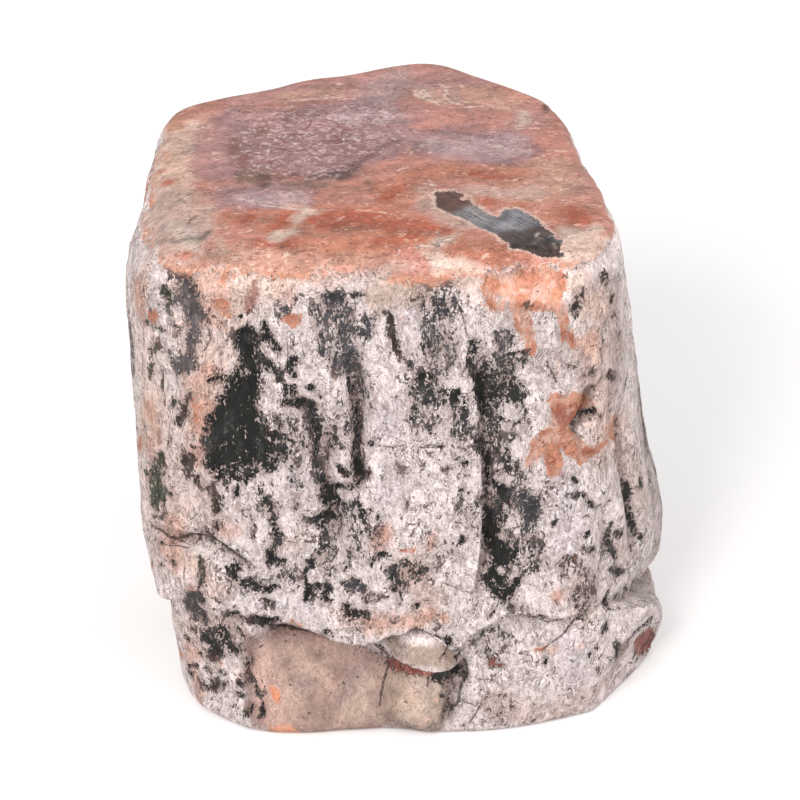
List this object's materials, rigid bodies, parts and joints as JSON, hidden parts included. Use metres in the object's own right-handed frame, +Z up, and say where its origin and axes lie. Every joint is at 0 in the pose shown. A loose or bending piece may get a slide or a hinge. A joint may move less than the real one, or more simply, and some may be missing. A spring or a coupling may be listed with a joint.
{
  "type": "petrified wood specimen",
  "caption": "Upright block of petrified wood, cut flat on top, with pale rough bark-like sides, a ledge round the lower part and a flat base to stand on.",
  "frame": {"origin": "on the ground plane, under the middle of the block's bounding box", "axes": "+Z up along the wood's grain, +X to the block's right as its front is faced, -Y towards the front"},
  "size_m": [0.0724, 0.0606, 0.075],
  "materials": {
    "silicified_wood": "pinkish-white chalky rind with black-green patches and orange iron stains on the sides; satin mauve and orange stone with a grey chalcedony patch on the cut top"
  },
  "bodies": {
    "root": {"stone": "silicified_wood"}
  },
  "joints": []
}
